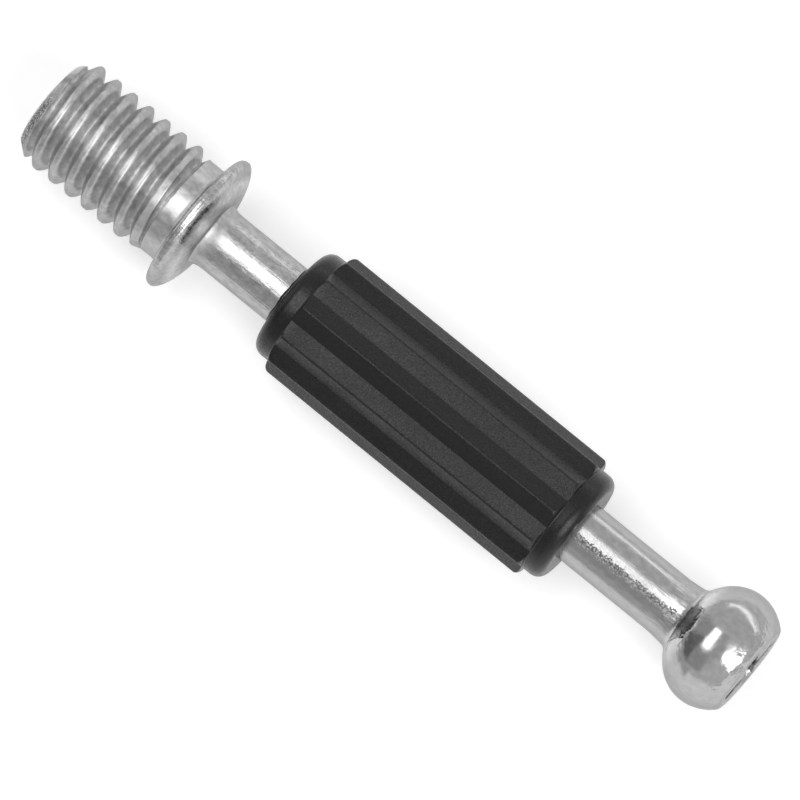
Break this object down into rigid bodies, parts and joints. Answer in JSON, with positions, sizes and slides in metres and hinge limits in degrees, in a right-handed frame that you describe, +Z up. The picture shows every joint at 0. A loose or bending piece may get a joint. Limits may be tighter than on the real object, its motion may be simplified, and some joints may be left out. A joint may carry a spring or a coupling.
{
  "type": "cam dowel",
  "caption": "Steel cam dowel with a metric threaded stud, stop collar, ridged black plastic sleeve and flat-ended ball head.",
  "frame": {"origin": "on the dowel's axis in the plane of the collar's seating face, with the dowel lying on its side", "axes": "+X along the axis towards the ball head, the threaded stud towards -X, +Z up with the axis level"},
  "size_m": [0.0426, 0.0074, 0.0074],
  "materials": {
    "bolt": "bright zinc plated steel, cold headed and thread rolled",
    "sleeve": "black moulded plastic, smooth with patches of fine spark-eroded grain"
  },
  "bodies": {
    "root": {"bolt": "bolt", "sleeve": "sleeve"}
  },
  "joints": []
}
